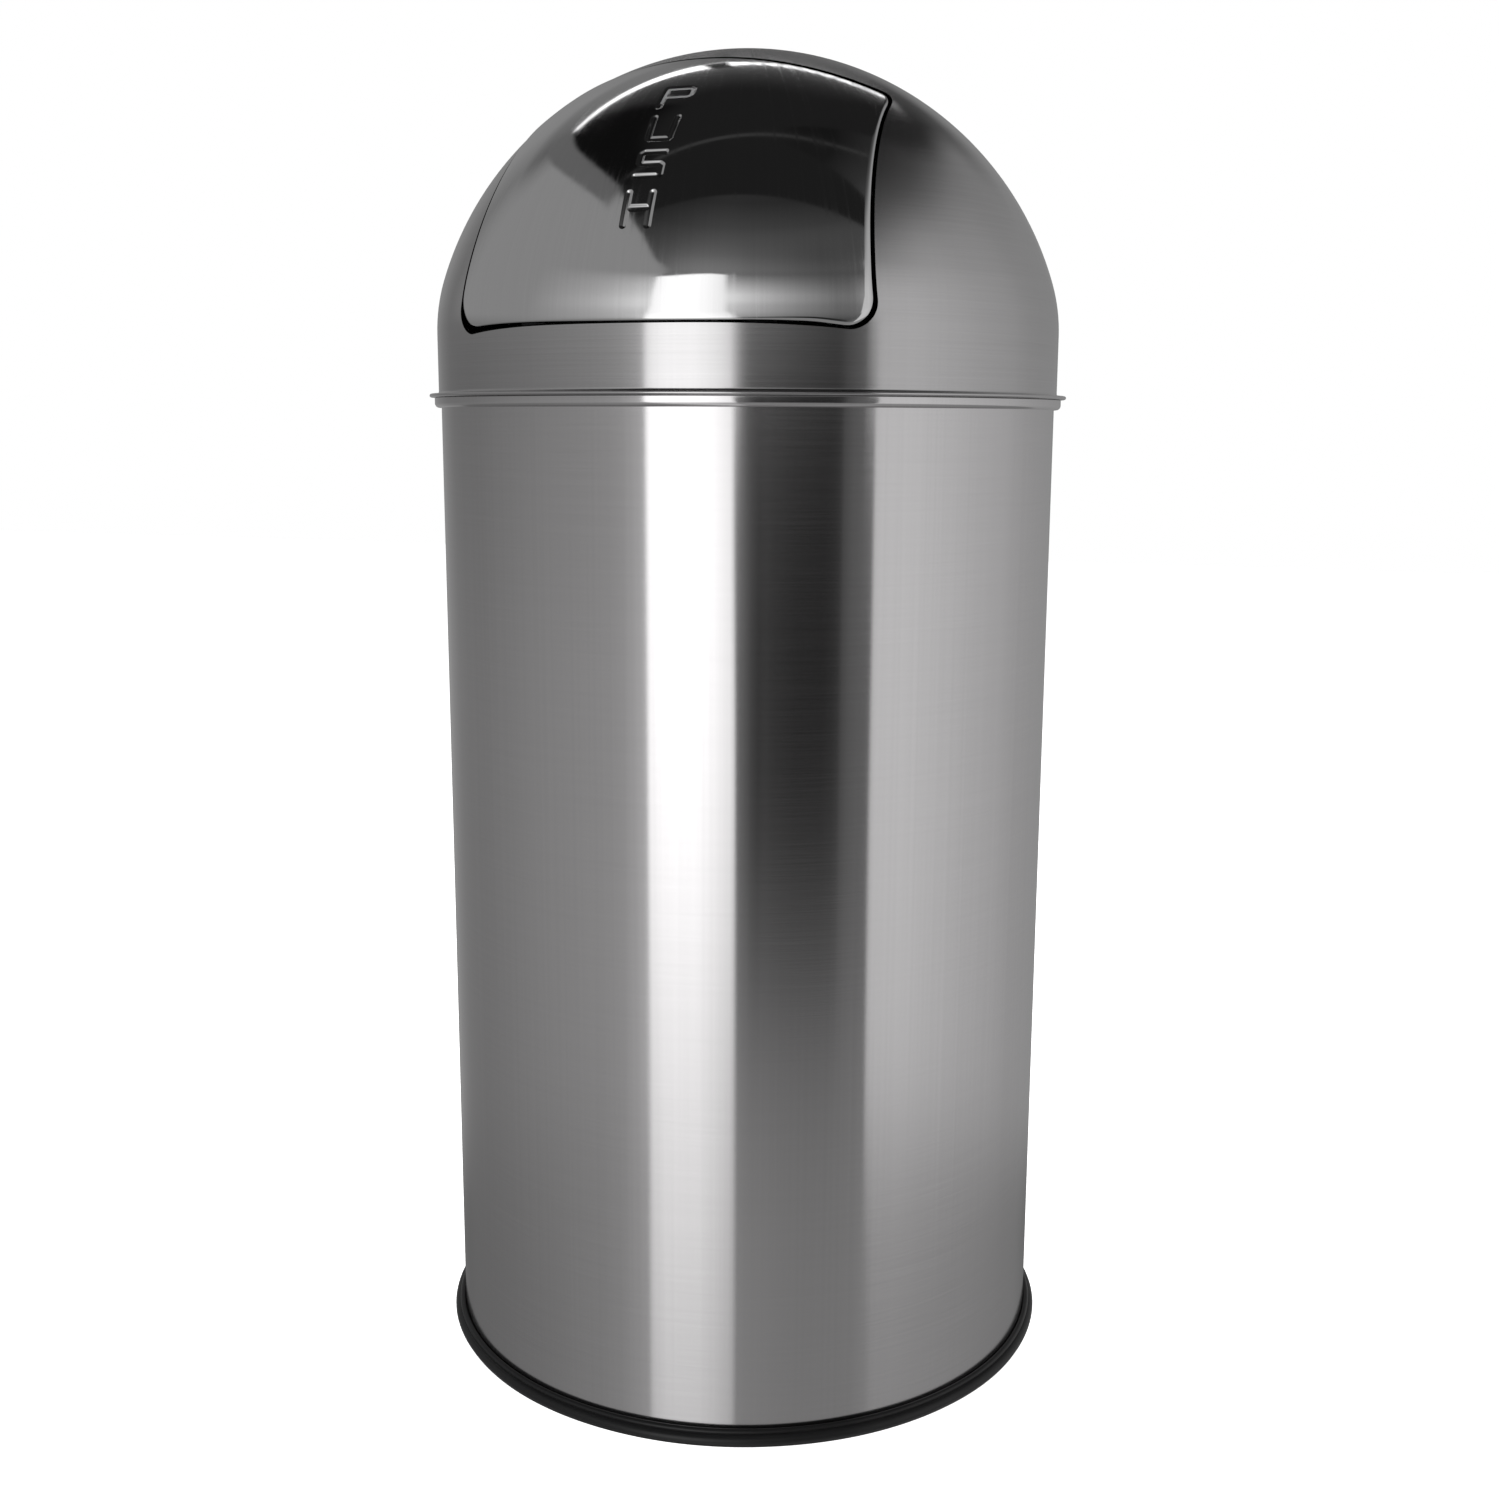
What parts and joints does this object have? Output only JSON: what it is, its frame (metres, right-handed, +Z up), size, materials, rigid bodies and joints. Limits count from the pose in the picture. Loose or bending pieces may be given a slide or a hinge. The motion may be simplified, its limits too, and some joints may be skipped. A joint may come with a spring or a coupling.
{
  "type": "dome top waste receptacle",
  "caption": "Free-standing cylindrical bin with a lift-off domed lid, an inward swinging sprung flap, a lift-out inner bucket with a wire bail, and a rubber foot ring.",
  "frame": {"origin": "centre of the foot ring's underside, on the floor", "axes": "+Z up along the bin's axis; the flap faces -Y; +X is to the right of a person facing the flap"},
  "size_m": [0.3632, 0.3632, 0.7433],
  "materials": {
    "body_steel": "fine grain brushed round the body",
    "dome_steel": "fine grain brushed round the dome",
    "flap_steel": "bright polished",
    "foot_rubber": "moulded, satin black",
    "inner_zinc": "galvanised with a fine spangle",
    "hidden_steel": "zinc plated pressing",
    "rod_steel": "bright drawn wire and rod",
    "cap_steel": "blackened spring steel",
    "buffer_rubber": "matt black",
    "bush_plastic": "natural nylon",
    "spring_steel": "drawn spring wire"
  },
  "bodies": {
    "bin_body": {"body_shell": "body_steel", "base_pan": "hidden_steel", "base_ring": "foot_rubber"},
    "liner": {"liner_wall": "inner_zinc", "liner_base": "inner_zinc", "liner_ears": "hidden_steel", "ear_rivets": "rod_steel"},
    "bail": {"bail_handle": "rod_steel"},
    "lid": {"dome_shell": "dome_steel", "locating_collar": "hidden_steel", "hinge_bracket_left": "hidden_steel", "hinge_bracket_right": "hidden_steel", "hinge_rod": "rod_steel", "rod_caps": "cap_steel", "stop_buffers": "buffer_rubber"},
    "flap": {"flap_panel": "flap_steel", "flap_strap": "hidden_steel", "flap_bush_left": "bush_plastic", "flap_bush_right": "bush_plastic", "flap_stop_tabs": "cap_steel", "return_spring_left": "spring_steel", "return_spring_right": "spring_steel"}
  },
  "joints": [
    {"name": "liner_lift", "type": "slide", "parent": "bin_body", "child": "liner", "axis": [0, 0, 1], "range_m": [0, 0.08]},
    {"name": "bail_swing", "type": "hinge", "parent": "liner", "child": "bail", "pos_m": [0, 0, 0.505], "axis": [1, 0, 0], "range_deg": [0, 208]},
    {"name": "lid_lift", "type": "slide", "parent": "bin_body", "child": "lid", "axis": [0, 0, 1], "range_m": [0, 0.3]},
    {"name": "flap_swing", "type": "hinge", "parent": "lid", "child": "flap", "pos_m": [0, -0.048, 0.708], "axis": [1, 0, 0], "range_deg": [0, 60], "stiffness_Nm_per_rad": 0.3, "springref_deg": -80.21, "deforming": ["return_spring_left", "return_spring_right"]}
  ]
}
